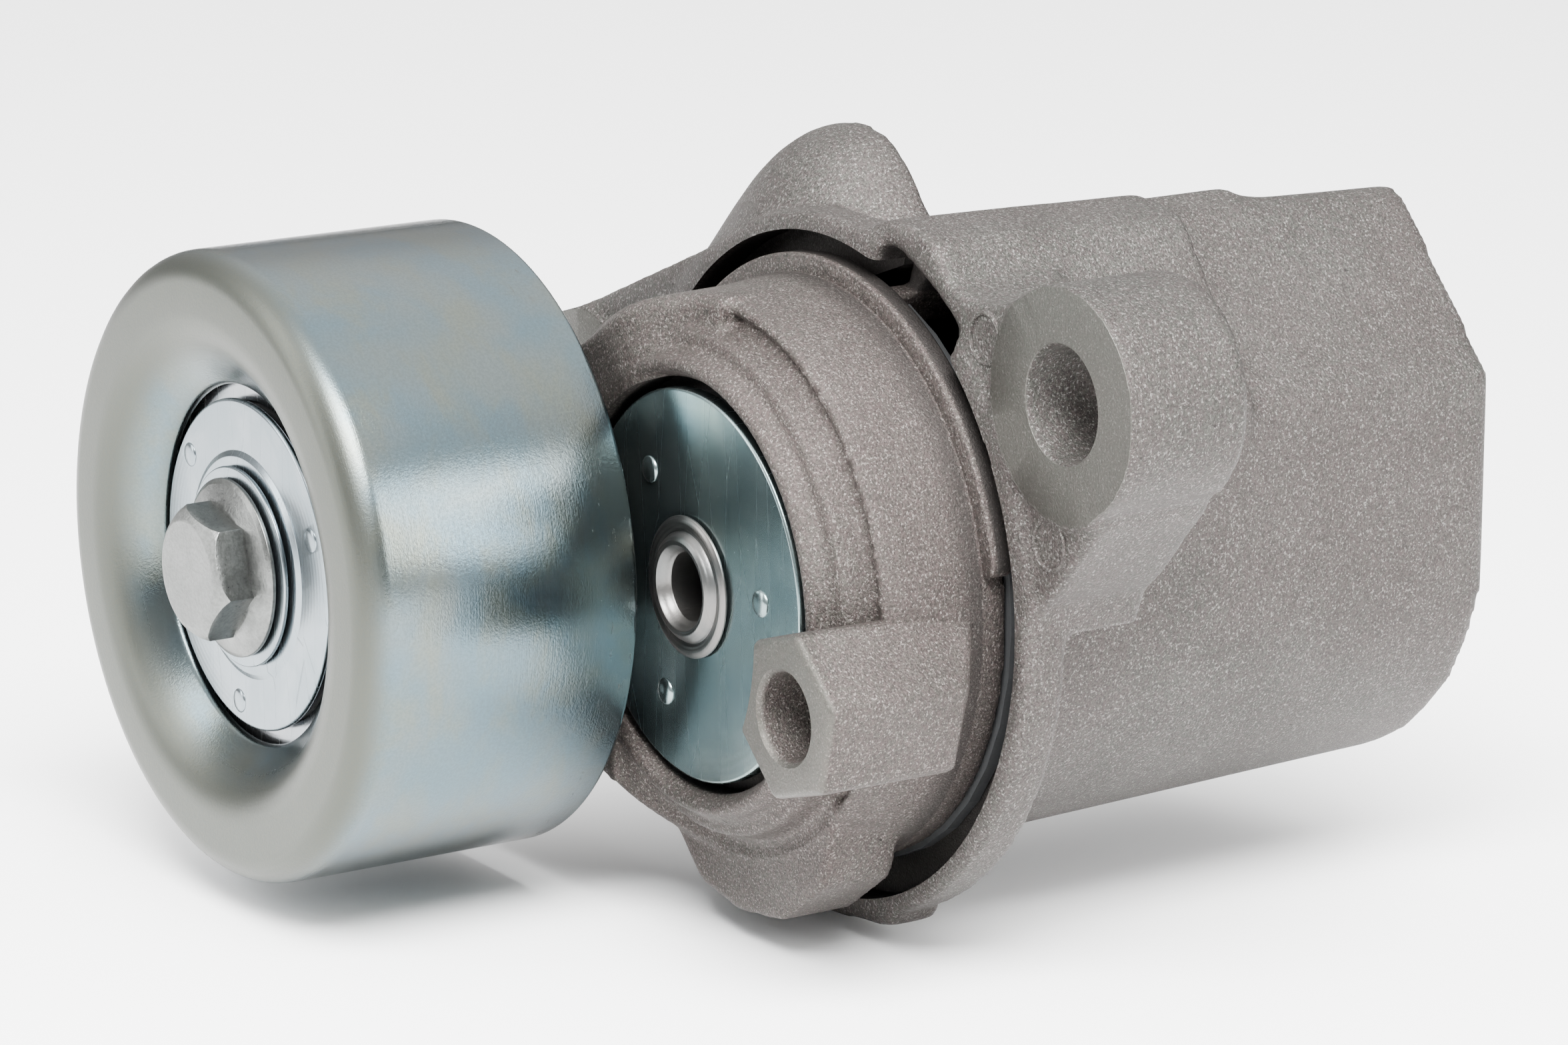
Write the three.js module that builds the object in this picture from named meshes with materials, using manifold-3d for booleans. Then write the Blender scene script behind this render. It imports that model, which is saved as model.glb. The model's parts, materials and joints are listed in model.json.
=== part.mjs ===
// Sprung belt tensioner with its idler pulley.
// A cast housing bolts to an engine by three ears and holds a fixed shaft and a torsion spring.
// A cast arm swings on the shaft and carries the pulley on a ball bearing.
// Millimetres. +Y runs back along the shaft, +Z is up, +X is right as seen from the pulley's side.
// The origin is the centre of the housing's closed rear face, so everything else has a negative Y.

import * as THREE from "three";
import { mergeVertices } from "three/addons/utils/BufferGeometryUtils.js";
import Module from "manifold-3d";

const wasm = await Module();
wasm.setup();

// ---- driving dimensions ----------------------------------------------------------------------
const GAP = 0.3; // air between pieces that touch

// Places along the shaft.
const REAR = 0;
const RIM_FRONT = -63; // the housing's open end
const RIM_REAR = -58;
const EAR_FRONT = -63;
const EAR_REAR = -49; // the plane that meets the engine
const PLATE_FRONT = -62.3;
const PAD_REAR = -29.5;
const RIB_REAR = -19.6;
const BORE_FLOOR = -59.2; // the wide bore under the rim stops here
const WALL = 3.5; // the housing's closed end
const DISC_FRONT = -78.5;
const PULLEY_REAR = -82.5;

// Housing.
const CAN_R = 28;
const CAN_SIDE_TOP = 16.9; // where the flat right side ends and the shoulder starts
const CAN_CREST = { x: 12.1, z: 34.6, blend: 3.4 }; // the corner between the shoulder and the falling top
const CAN_ROUND_FROM = 111; // degrees: where the falling top meets the round left side
const CAN_DRAFT = 0.0011; // growth of the section for each millimetre forward
const CAVITY_SCALE = 0.9;
const RIM_OUTER_R = 35.6;
const RIM_INNER_R = 34;
const POCKET_R = 36;
const POCKET_FROM = 49.5; // degrees from +X towards +Z
const POCKET_TO = 74.5;
const EAR_R = 11.3;
const EAR_HOLE_R = 5.55;
const EAR_RIGHT = { x: 41.1, z: 24.6 };
const EAR_LEFT = { x: -47, z: 6.2 };
const TOWER = { x: -12.5, top: 41.7, tipR: 15, front: -61 };

// Shaft, bushes and spring.
const SHAFT_R = 8;
const SHAFT_BORE_R = 4.4;
const SHAFT_FLARE_R = 7.2;
const SHAFT_SHOULDER = -76.6; // the disc sits on this step
const DISC_R = 19.9;
const DISC_THICK = 1.6;
const HUB_INNER_R = 10.5;
const HUB_OUTER_R = 14.6;
const HUB_REAR = -35.5;
const SPRING_R = 20.5;
const SPRING_WIRE_R = 2.9;
const SPRING_TURNS = 7;
const SPRING_FRONT = -66.8; // wire centre at each end
const SPRING_REAR = -8.2;
const HOUSING_BOSS = { r: 13.5, front: -33.7 }; // what the arm's hub runs against
const SLEEVE = { inner: 15, outer: 16.6, front: -58, rear: -20 };
const SEAT = { inner: 15, outer: 24, thick: 1.2 };
const DISC_BORE_R = 6.6;
const WASHER_OUTER_R = 19.5;
const REAR_WASHER_R = 13.2;
const FRICTION_INNER_R = 26.7;

// Arm.
const PULLEY_X = -35.7;
const PULLEY_Z = -1.3;
const RECESS_R = 21;
const RECESS_FLOOR = -75.1;
const ARM_FACE = -79.3;
const ARM_FLANGE_R = 31.6;
const ARM_FLANGE_REAR = -61.1;
const ARM_INSIDE = -71.3; // the underside that the spring bears on
const ARM_WEB_REAR = -66.5;
const ARM_WEB_R = 29;
const PULLEY_BOSS_R = 14;
const STUD_BOSS_R = 11;
const STUD_BOSS_FRONT = -95.3;
const HEX = { x: 26.2, z: -6.3, r: 8.95, turn: 17, front: -84.5, rear: -69, holeR: 4.35, floor: -73.5 };
const TAB = { from: 69.8, to: 73.8, inner: 30.5, outer: 35.6, front: -61.9, rear: -54 };

// Pulley and bearing.
const PULLEY_R = 32.5;
const PULLEY_WIDTH = 31;
const PULLEY_WALL = 3;
const LIP_R = 18.5;
const BEARING_SEAT_R = 20.3;
const BEARING_SEAT_OUTER_R = 22.8;
const BEARING_MID = -101.6;
const BEARING_W = 12;
const BEARING_R = 20;
const BEARING_BORE_R = 8.5;
const BALL_R = 3.375;
const BALL_PITCH_R = 14.25;
const BALL_COUNT = 8;
const SHIELD_R = 17.08;
const SHIELD_FRONT = -109.36;
const BOLT_R = 4;
const BOLT_AF = 12.2;
const BOLT_HEAD = { front: -116.1, rear: -110.8, flangeR: 9.2 };

const ROUND = 36; // segments of most circles, then of larger and smaller ones
const LARGE_ROUND = 54;
const MID_ROUND = 28;
const SMALL_ROUND = 22;

// ---- solids ------------------------------------------------------------------------------------

// A closed mesh as a solid, turned outwards if its faces point in.
function solidOf(geometry) {
  const bare = new THREE.BufferGeometry();
  bare.setAttribute("position", geometry.getAttribute("position"));
  if (geometry.index) bare.setIndex(geometry.index);
  const merged = mergeVertices(bare, 1e-4);
  const vertProperties = merged.attributes.position.array;
  const triVerts = new Uint32Array(merged.index.array);
  const made = new wasm.Manifold(new wasm.Mesh({ numProp: 3, vertProperties, triVerts }));
  if (made.volume() > 0) return made;
  for (let i = 0; i < triVerts.length; i += 3) {
    [triVerts[i + 1], triVerts[i + 2]] = [triVerts[i + 2], triVerts[i + 1]];
  }
  return new wasm.Manifold(new wasm.Mesh({ numProp: 3, vertProperties, triVerts }));
}

function geometryOf(solid) {
  const mesh = solid.getMesh();
  const geometry = new THREE.BufferGeometry();
  geometry.setAttribute("position", new THREE.BufferAttribute(mesh.vertProperties, 3));
  geometry.setIndex(new THREE.BufferAttribute(mesh.triVerts, 1));
  return geometry.toNonIndexed();
}

const join = (first, ...rest) => rest.reduce((a, b) => a.add(b), first);
const cut = (first, ...rest) => rest.reduce((a, b) => a.subtract(b), first);

// A closed [radius, y] profile turned about an axis along Y.
function turned(profile, { x = 0, z = 0, segments = ROUND } = {}) {
  const points = profile.map(([r, y]) => new THREE.Vector2(r, y));
  if (profile[0][0] > 0) points.push(points[0].clone());
  return solidOf(new THREE.LatheGeometry(points, segments).translate(x, 0, z));
}

function cylinder(r, front, rear, where = {}) {
  return turned([[0, front], [r, front], [r, rear], [0, rear]], where);
}

function ring(inner, outer, front, rear, where = {}) {
  return turned([[inner, front], [outer, front], [outer, rear], [inner, rear]], where);
}

// An outline in X and Z, extruded along Y.
function prismGeometry(shape, front, rear, curveSegments = 12) {
  const geometry = new THREE.ExtrudeGeometry(shape, {
    depth: rear - front,
    bevelEnabled: false,
    curveSegments,
  });
  return geometry.rotateX(Math.PI / 2).translate(0, rear, 0);
}

const prism = (shape, front, rear, curveSegments) =>
  solidOf(prismGeometry(shape, front, rear, curveSegments));

const outline = (points) => new THREE.Shape(points.map(([x, z]) => new THREE.Vector2(x, z)));

const onCircle = (r, degrees, x = 0, z = 0) => {
  const a = THREE.MathUtils.degToRad(degrees);
  return [x + r * Math.cos(a), z + r * Math.sin(a)];
};

const arc = (r, from, to, steps, x = 0, z = 0) =>
  Array.from({ length: steps + 1 }, (_, i) => onCircle(r, from + ((to - from) * i) / steps, x, z));

const sector = (inner, outer, from, to, steps) =>
  outline([...arc(outer, from, to, steps), ...arc(inner, to, from, steps)]);

// The area swept by a belt round two circles.
function capsule(ax, az, ar, bx, bz, br, steps = 16) {
  const far = Math.hypot(bx - ax, bz - az);
  const along = THREE.MathUtils.radToDeg(Math.atan2(bz - az, bx - ax));
  const open = THREE.MathUtils.radToDeg(Math.acos((ar - br) / far));
  return outline([
    ...arc(ar, along + open, along + 360 - open, steps, ax, az),
    ...arc(br, along - open, along + open, steps, bx, bz),
  ]);
}

// ---- materials -----------------------------------------------------------------------------------
const finish = (color, roughness, metalness) =>
  new THREE.MeshStandardMaterial({ color, roughness, metalness });

const castHousing = finish(0x9a9a98, 0.62, 0.75);
const castArm = finish(0xa39c97, 0.6, 0.75);
const zincSteel = finish(0xaab8bd, 0.3, 0.95);
const brightSteel = finish(0xc6ccd2, 0.28, 1.0);
const platedDisc = finish(0x7e999b, 0.2, 0.95);
const galvanised = finish(0xb4b9bb, 0.42, 0.9);
const turnedSteel = finish(0x7d7d7c, 0.38, 0.95);
const bearingSteel = finish(0x8f9296, 0.22, 1.0);
const springSteel = finish(0x3a3c3f, 0.45, 0.9);
const darkPolymer = finish(0x1d1e20, 0.6, 0.0);
const sealRubber = finish(0x15161a, 0.7, 0.0);
const cagePolymer = finish(0xb59a62, 0.55, 0.0);

// ---- housing -------------------------------------------------------------------------------------

// The can's section: round below and on the left, flat on the right, with a sloping shoulder up to a
// rounded crest from which the top falls to the left.
function canOutline(scale) {
  const crest = new THREE.Vector2(CAN_CREST.x, CAN_CREST.z);
  const side = new THREE.Vector2(CAN_R, CAN_SIDE_TOP);
  const left = new THREE.Vector2(...onCircle(CAN_R, CAN_ROUND_FROM));
  const blendTowards = (p) => crest.clone().lerp(p, CAN_CREST.blend / crest.distanceTo(p));
  const start = blendTowards(side);
  const end = blendTowards(left);
  const shape = new THREE.Shape();
  shape.moveTo(left.x, left.y);
  shape.absarc(0, 0, CAN_R, THREE.MathUtils.degToRad(CAN_ROUND_FROM), 2 * Math.PI, false);
  shape.lineTo(side.x, side.y);
  shape.lineTo(start.x, start.y);
  shape.quadraticCurveTo(crest.x, crest.y, end.x, end.y);
  return outline(shape.getPoints(8).map((p) => [p.x * scale, p.y * scale]));
}

// Widens a prism's section towards the front, as a casting's draft does.
function drafted(geometry) {
  const p = geometry.getAttribute("position");
  for (let i = 0; i < p.count; i++) {
    const s = 1 + CAN_DRAFT * (REAR - p.getY(i));
    p.setXYZ(i, p.getX(i) * s, p.getY(i), p.getZ(i) * s);
  }
  return geometry;
}

function ear(at) {
  return cylinder(EAR_R, EAR_FRONT, EAR_REAR, { ...at, segments: MID_ROUND });
}

// A rounded tower: a 90 degree wedge with a round tip, cut to a round front in plan.
function tower() {
  const tipZ = TOWER.top - TOWER.tipR;
  const foot = tipZ - 6;
  const spread = TOWER.tipR * Math.SQRT2 + 6; // half width of the wedge at its foot
  const wedge = outline([
    [TOWER.x + spread, foot],
    ...arc(TOWER.tipR, 45, 135, 10, TOWER.x, tipZ),
    [TOWER.x - spread, foot],
  ]);
  const depth = EAR_REAR - TOWER.front;
  const plan = new THREE.Shape();
  plan.moveTo(TOWER.x + spread, EAR_REAR);
  plan.lineTo(TOWER.x - spread, EAR_REAR);
  plan.absellipse(TOWER.x, EAR_REAR, spread, depth, Math.PI, 2 * Math.PI, false);
  const column = new THREE.ExtrudeGeometry(plan, { depth: 60, bevelEnabled: false, curveSegments: 12 });
  return prism(wedge, TOWER.front, EAR_REAR).intersect(solidOf(column));
}

function makeHousing() {
  const can = solidOf(drafted(prismGeometry(canOutline(1), EAR_REAR - 12, REAR)));
  const pad = prism(
    outline([[28.8, 13], [29.7, 18.7], [18.4, 33.4], [15.2, 35.5], [10.4, 36.2], [-12, 27.8], [-12, 13]]),
    PLATE_FRONT, PAD_REAR,
  );
  const rib = prism(
    outline([[-2, 29], [14, 29], [12.8, 34.4], [9.6, 35.6], [-2, 31.4]]), PAD_REAR - 1, RIB_REAR,
  );
  const rim = cylinder(RIM_OUTER_R, RIM_FRONT, RIM_REAR, { segments: LARGE_ROUND });
  const bump = prism(sector(20, 37.4, -96, -70, 6), RIM_FRONT, RIM_REAR);
  const rightPlate = prism(
    outline([[0, 0], [RIM_OUTER_R, 0], [36.8, 3.6], [40, 7], [46.4, 14.4], [EAR_RIGHT.x, 24.6], [37.6, 35],
      [33, 33.2], [28.4, 32.6], [23.5, 33.2], [19, 34.9], [15, 36.4], [12, 36.9], [8.5, 36.3], [0, 34.2]]),
    PLATE_FRONT, EAR_REAR,
  );
  const leftPlate = prism(capsule(0, 0, RIM_OUTER_R - 0.4, EAR_LEFT.x, EAR_LEFT.z, EAR_R), PLATE_FRONT, -52);
  const body = join(can, pad, rib, rim, bump, rightPlate, leftPlate, ear(EAR_RIGHT), ear(EAR_LEFT), tower());

  const cavity = solidOf(
    drafted(prismGeometry(canOutline(CAVITY_SCALE), BORE_FLOOR - 1, REAR - WALL)),
  );
  const bore = cylinder(RIM_INNER_R, RIM_FRONT - 1, BORE_FLOOR, { segments: LARGE_ROUND });
  const pocket = prism(sector(28, POCKET_R, POCKET_FROM, POCKET_TO, 8), RIM_FRONT - 1, -52);
  const hole = (at) => cylinder(EAR_HOLE_R, EAR_FRONT - 1, EAR_REAR + 1, { ...at, segments: SMALL_ROUND });
  const hollow = cut(body, cavity, bore, pocket, hole(EAR_RIGHT), hole(EAR_LEFT));

  const boss = cylinder(HOUSING_BOSS.r, HOUSING_BOSS.front, REAR - WALL + 1, { segments: MID_ROUND });
  const seat = cylinder(SHAFT_R + GAP, HOUSING_BOSS.front - 1, REAR - WALL + 0.5, { segments: MID_ROUND });
  return cut(join(hollow, boss), seat);
}

// ---- shaft and what sits on it ----------------------------------------------------------------------

const makeShaft = () =>
  turned([
    [SHAFT_BORE_R, -79.6], [4.8, -80.1], [5.8, -80.2], [6.8, -79.7], [SHAFT_FLARE_R, -79.2],
    [SHAFT_FLARE_R, DISC_FRONT - GAP], [6.3, DISC_FRONT - GAP], [6.3, SHAFT_SHOULDER],
    [SHAFT_R, SHAFT_SHOULDER],
    [SHAFT_R, REAR - WALL + 0.2], [SHAFT_BORE_R, REAR - WALL + 0.2],
  ], { segments: MID_ROUND });

const makeRetainingDisc = () => ring(DISC_BORE_R, DISC_R, DISC_FRONT, DISC_FRONT + DISC_THICK);

const makeBush = (front, rear) =>
  ring(SHAFT_R + GAP, HUB_INNER_R - GAP, front, rear, { segments: SMALL_ROUND });

// Round wire on a helix about the shaft.
function makeSpring() {
  const helix = new THREE.Curve();
  helix.getPoint = (t, target = new THREE.Vector3()) => {
    const a = 2 * Math.PI * SPRING_TURNS * t;
    const y = THREE.MathUtils.lerp(SPRING_FRONT, SPRING_REAR, t);
    return target.set(SPRING_R * Math.cos(a), y, SPRING_R * Math.sin(a));
  };
  const section = outline(arc(SPRING_WIRE_R, 0, 288, 4));
  return solidOf(
    new THREE.ExtrudeGeometry(section, { steps: 16 * SPRING_TURNS, extrudePath: helix, bevelEnabled: false }),
  );
}

// ---- arm ---------------------------------------------------------------------------------------------

function makeArm() {
  const dome = turned([
    [HUB_INNER_R, RECESS_FLOOR - 2], [RECESS_R, RECESS_FLOOR - 2], [RECESS_R, -78], [21.5, -78.8],
    [22.4, -79.1], [23.4, -78.6], [25, -76.8], [26.2, -75.3], [27, -74.3], [27.9, -73.6], [28.4, -72.4],
    [29.8, -63.5], [ARM_FLANGE_R, -62.9], [ARM_FLANGE_R, ARM_FLANGE_REAR], [25.8, ARM_FLANGE_REAR],
    [25.4, ARM_INSIDE], [16.4, ARM_INSIDE], [HUB_OUTER_R, -70.4], [HUB_OUTER_R, HUB_REAR],
    [HUB_INNER_R, HUB_REAR],
  ], { segments: LARGE_ROUND });
  const web = prism(outline(arc(ARM_WEB_R, 96, 264, 24)), ARM_FACE, -70.4);
  const reach = prism(
    capsule(0, 0, ARM_WEB_R - 1, PULLEY_X, PULLEY_Z, PULLEY_BOSS_R), ARM_FACE, ARM_WEB_REAR,
  );
  const studBoss = cylinder(STUD_BOSS_R, STUD_BOSS_FRONT, ARM_FACE + 2,
    { x: PULLEY_X, z: PULLEY_Z, segments: MID_ROUND });
  const lobe = prism(
    outline([[-9, -25], [-7.6, -29.5], [-4.6, -32.6], [-2.2, -34.2], [3, -35], [9, -34.2], [14.5, -31],
      [18.8, -26], [20, -18]]),
    -74.5, ARM_WEB_REAR,
  );
  const wrenchHex = cut(
    prism(outline(arc(HEX.r, HEX.turn, HEX.turn + 300, 5, HEX.x, HEX.z)), HEX.front, HEX.rear),
    cylinder(RECESS_R, HEX.front - 1, RECESS_FLOOR, { segments: LARGE_ROUND }),
  );
  const tab = prism(sector(TAB.inner, TAB.outer, TAB.from, TAB.to, 2), TAB.front, TAB.rear);

  const springRoom = ring(HUB_OUTER_R, 25.4, ARM_INSIDE, -50, { segments: LARGE_ROUND });
  const recess = cylinder(RECESS_R, ARM_FACE - 2, RECESS_FLOOR, { segments: LARGE_ROUND });
  const hubBore = cylinder(HUB_INNER_R, -80, HUB_REAR + 1, { segments: MID_ROUND });
  const boltHole = cylinder(BOLT_R + GAP, STUD_BOSS_FRONT - 1, ARM_WEB_REAR + 1,
    { x: PULLEY_X, z: PULLEY_Z, segments: SMALL_ROUND });
  const hexHole = cylinder(HEX.holeR, HEX.front - 1, HEX.floor,
    { x: HEX.x, z: HEX.z, segments: SMALL_ROUND });
  return cut(
    join(dome, web, reach, studBoss, lobe, wrenchHex, tab),
    springRoom, recess, hubBore, boltHole, hexHole,
  );
}

// ---- pulley, bearing and bolt ----------------------------------------------------------------------
const atPulley = (segments) => ({ x: PULLEY_X, z: PULLEY_Z, segments });

function makePulleyShell() {
  const front = PULLEY_REAR - PULLEY_WIDTH;
  const inner = PULLEY_R - PULLEY_WALL;
  return turned([
    [PULLEY_R, PULLEY_REAR], [PULLEY_R, front + 3.1], [31.6, front + 0.9], [29.4, front], [24.5, front],
    [22, front + 0.7], [20.2, front + 2], [LIP_R, front + 3.8], [LIP_R, front + 5.1],
    [BEARING_SEAT_R, front + 5.6],
    [BEARING_SEAT_R, BEARING_MID + 7], [BEARING_SEAT_OUTER_R, BEARING_MID + 7],
    [BEARING_SEAT_OUTER_R, front + 6], [24.6, front + 3],
    [28.4, front + 2.8], [inner, front + 4], [inner, PULLEY_REAR],
  ], atPulley(LARGE_ROUND));
}

// One bearing ring, with the groove that the balls run in.
function makeRace(nearR, farR, grooveSide) {
  const grooveR = BALL_R + GAP;
  const half = BEARING_W / 2;
  const edge = BALL_PITCH_R + grooveSide * Math.abs(nearR - BALL_PITCH_R);
  const reach = Math.sqrt(grooveR ** 2 - (nearR - BALL_PITCH_R) ** 2);
  const groove = [-1, -0.4, 0.4, 1].map((t) => {
    const y = reach * t;
    return [BALL_PITCH_R + grooveSide * Math.sqrt(grooveR ** 2 - y ** 2), BEARING_MID + y];
  });
  return turned([
    [farR, BEARING_MID - half], [edge, BEARING_MID - half], ...groove,
    [edge, BEARING_MID + half], [farR, BEARING_MID + half],
  ], atPulley(ROUND));
}

const ballAngles = Array.from({ length: BALL_COUNT }, (_, i) => (360 * i) / BALL_COUNT);

function makeBallSolid(r, degrees) {
  const [x, z] = onCircle(BALL_PITCH_R, degrees, PULLEY_X, PULLEY_Z);
  return solidOf(new THREE.SphereGeometry(r, 10, 6).translate(x, BEARING_MID, z));
}

function makeCage() {
  const band = ring(13.1, 15.4, BEARING_MID - 4.5, BEARING_MID + 4.5, atPulley(ROUND));
  return cut(band, ...ballAngles.map((a) => makeBallSolid(BALL_R + 0.35, a)));
}

function makeBolt() {
  const headRear = BOLT_HEAD.rear;
  const headFront = BOLT_HEAD.front;
  const flange = turned([
    [0, headRear], [BOLT_HEAD.flangeR, headRear], [BOLT_HEAD.flangeR, headRear - 0.6],
    [6.6, headRear - 1.3], [0, headRear - 1.3],
  ], atPulley(SMALL_ROUND));
  const corner = BOLT_AF / Math.sqrt(3);
  const hexagon = prism(outline(arc(corner, -12, 288, 5, PULLEY_X, PULLEY_Z)), headFront, headRear - 1);
  const crown = turned([
    [0, headFront], [5.7, headFront], [7.1, headFront + 0.8], [7.1, headRear], [0, headRear],
  ], atPulley(SMALL_ROUND));
  const shank = cylinder(BOLT_R, headRear - 1, -70.5, atPulley(SMALL_ROUND));
  return join(flange, hexagon.intersect(crown), shank);
}

const makeFrontShield = () =>
  turned([
    [4.6, SHIELD_FRONT - 0.3], [11.2, SHIELD_FRONT - 0.3], [11.8, SHIELD_FRONT], [SHIELD_R, SHIELD_FRONT],
    [SHIELD_R, SHIELD_FRONT + 0.8], [11.4, SHIELD_FRONT + 0.8], [10.8, SHIELD_FRONT + 1.4],
    [4.6, SHIELD_FRONT + 1.4],
  ], atPulley(ROUND));

// ---- the assembly ------------------------------------------------------------------------------------
const tensioner = new THREE.Group();

function add(name, solid, material) {
  const mesh = new THREE.Mesh(geometryOf(solid), material);
  mesh.name = name;
  tensioner.add(mesh);
}

const bearingFront = BEARING_MID - BEARING_W / 2;
const bearingRear = BEARING_MID + BEARING_W / 2;

// Fixed to the engine.
add("housing", makeHousing(), castHousing);
add("pivot_shaft", makeShaft(), turnedSteel);
add("retaining_disc", makeRetainingDisc(), platedDisc);
add("front_thrust_washer",
  ring(SHAFT_R + GAP, WASHER_OUTER_R, SHAFT_SHOULDER, RECESS_FLOOR - GAP), darkPolymer);
const rearWasherEnd = HOUSING_BOSS.front - GAP;
add("rear_thrust_washer",
  ring(SHAFT_R + GAP, REAR_WASHER_R, HUB_REAR + GAP, rearWasherEnd, { segments: MID_ROUND }), darkPolymer);
add("friction_ring",
  ring(FRICTION_INNER_R, TAB.inner - GAP, ARM_FLANGE_REAR + GAP, BORE_FLOOR - GAP), darkPolymer);
add("spring_sleeve",
  ring(SLEEVE.inner, SLEEVE.outer, SLEEVE.front, SLEEVE.rear, { segments: MID_ROUND }), darkPolymer);
const seatRear = REAR - WALL - GAP;
add("spring_seat", ring(SEAT.inner, SEAT.outer, seatRear - SEAT.thick, seatRear), springSteel);
add("torsion_spring", makeSpring(), springSteel);

// Swings with the arm.
add("tensioner_arm", makeArm(), castArm);
add("pivot_bush_front", makeBush(-74.8, -57), cagePolymer);
add("pivot_bush_rear", makeBush(-54, -36), cagePolymer);
add("arm_spring_seat", ring(15.6, 25, ARM_INSIDE + GAP, ARM_INSIDE + GAP + 1), springSteel);
add("pulley_bolt", makeBolt(), galvanised);
add("bolt_washer",
  ring(BOLT_R + 2 * GAP, 10.3, BOLT_HEAD.rear + GAP, SHIELD_FRONT - 0.6, atPulley(MID_ROUND)), brightSteel);
add("front_shield", makeFrontShield(), brightSteel);
add("bearing_sleeve", ring(BOLT_R + GAP, 8.2, -107.6, bearingRear, atPulley(SMALL_ROUND)), turnedSteel);
add("bearing_inner_ring", makeRace(11.8, BEARING_BORE_R, -1), bearingSteel);
add("rear_shield",
  ring(STUD_BOSS_R + GAP, 17.4, bearingRear + 0.8, bearingRear + 1.6, atPulley(ROUND)), zincSteel);

// Turns with the pulley.
add("pulley_shell", makePulleyShell(), zincSteel);
add("bearing_outer_ring", makeRace(16.8, BEARING_R, 1), bearingSteel);
add("bearing_seal_front", ring(12.1, 16.5, bearingFront, bearingFront + 1, atPulley(MID_ROUND)), sealRubber);
add("bearing_seal_rear", ring(12.1, 16.5, bearingRear - 1, bearingRear, atPulley(MID_ROUND)), sealRubber);

// Turns between the bearing's rings.
add("ball_cage", makeCage(), cagePolymer);
ballAngles.forEach((angle, i) => add("bearing_ball_" + (i + 1), makeBallSolid(BALL_R, angle), bearingSteel));

export default tensioner;
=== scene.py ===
import json
from math import atan2, cos, pi, radians, sin, sqrt, tan

import bpy
from bpy.props import FloatProperty, FloatVectorProperty, IntProperty, PointerProperty
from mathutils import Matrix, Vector


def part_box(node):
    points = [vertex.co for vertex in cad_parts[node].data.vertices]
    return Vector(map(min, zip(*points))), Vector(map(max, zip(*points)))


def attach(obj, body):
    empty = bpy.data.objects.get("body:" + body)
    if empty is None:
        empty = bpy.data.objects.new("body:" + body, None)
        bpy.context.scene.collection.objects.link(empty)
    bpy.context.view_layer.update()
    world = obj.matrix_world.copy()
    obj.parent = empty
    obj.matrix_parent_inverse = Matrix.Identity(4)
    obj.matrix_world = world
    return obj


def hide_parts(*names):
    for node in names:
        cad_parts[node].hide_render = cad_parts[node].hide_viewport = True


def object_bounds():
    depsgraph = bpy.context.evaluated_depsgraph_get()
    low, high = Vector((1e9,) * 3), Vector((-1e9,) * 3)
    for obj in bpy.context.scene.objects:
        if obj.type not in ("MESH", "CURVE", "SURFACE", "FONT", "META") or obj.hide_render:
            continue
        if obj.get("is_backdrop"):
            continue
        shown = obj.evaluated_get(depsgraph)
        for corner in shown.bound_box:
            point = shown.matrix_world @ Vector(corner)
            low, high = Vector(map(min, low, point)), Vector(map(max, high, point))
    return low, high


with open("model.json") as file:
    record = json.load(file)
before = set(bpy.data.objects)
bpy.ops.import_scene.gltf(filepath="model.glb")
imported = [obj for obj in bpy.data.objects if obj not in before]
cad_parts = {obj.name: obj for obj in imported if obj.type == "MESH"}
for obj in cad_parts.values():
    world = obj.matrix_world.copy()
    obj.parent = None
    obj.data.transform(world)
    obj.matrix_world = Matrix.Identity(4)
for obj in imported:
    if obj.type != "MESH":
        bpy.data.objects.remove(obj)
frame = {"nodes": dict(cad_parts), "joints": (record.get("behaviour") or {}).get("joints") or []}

bl_info = {
    "name": "Belt Tensioner",
    "version": (1, 0, 0),
    "blender": (4, 5, 0),
    "location": "View3D > Sidebar > Tensioner",
    "description": "Models a sprung belt tensioner: its castings, pulley, shield, bolt and pivot",
    "category": "Object",
}

MM = 0.001
JOINTS = {joint["name"]: joint for joint in frame["joints"]}


# ---- places, in millimetres, read from the frame --------------------------------------------------
def front_of(node):
    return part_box(node)[0].y / MM


def rear_of(node):
    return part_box(node)[1].y / MM


def radius_of(node):
    low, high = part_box(node)
    return (high.x - low.x) / 2 / MM


PULLEY_X = JOINTS["pulley_spin"]["pos_m"][0] / MM
PULLEY_Z = JOINTS["pulley_spin"]["pos_m"][2] / MM
PULLEY = (PULLEY_X, PULLEY_Z)
PIVOT = (0.0, 0.0)
PULLEY_FRONT = front_of("pulley_shell")
PULLEY_REAR = rear_of("pulley_shell")
DISC_FRONT = front_of("retaining_disc")
DISC_REAR = rear_of("retaining_disc")
SHIELD_FACE = front_of("front_shield") + 0.3
BOLT_FRONT = front_of("pulley_bolt")
LUG_FRONT = -84.5
RIM_FRONT = -63.0
EAR_REAR = -49.0
PAD_REAR = -31.5
POCKET_FROM = 49.5
POCKET_TO = 74.5
EAR_RIGHT = (41.1, 24.6)
EAR_LEFT = (-47.0, 6.2)
LUG = (26.2, -6.3)
EAR_RADIUS = 11.4
EAR_FRONT = -63.5
CAN_RADIUS = 28.0
CAN_SIDE_TOP = 16.9
CAN_CREST = (12.1, 34.6)
CAN_ROUND_FROM = 111
CAVITY_SCALE = 0.9
CAVITY_REAR = -3.5
BORE_RADIUS = 34.0
BORE_FLOOR = -59.2
TOWER_X = -12.5
TOWER_FOOT = 18.0
TOWER_STEPS = 10
HUB_INNER = 10.5
HUB_OUTER = 14.6
LIP_RADIUS = 18.5
BEARING_SEAT = 20.3
BEARING_SEAT_OUTER = 22.8
BEARING_SEAT_REAR = -94.6
PULLEY_WALL = 3.0
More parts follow.
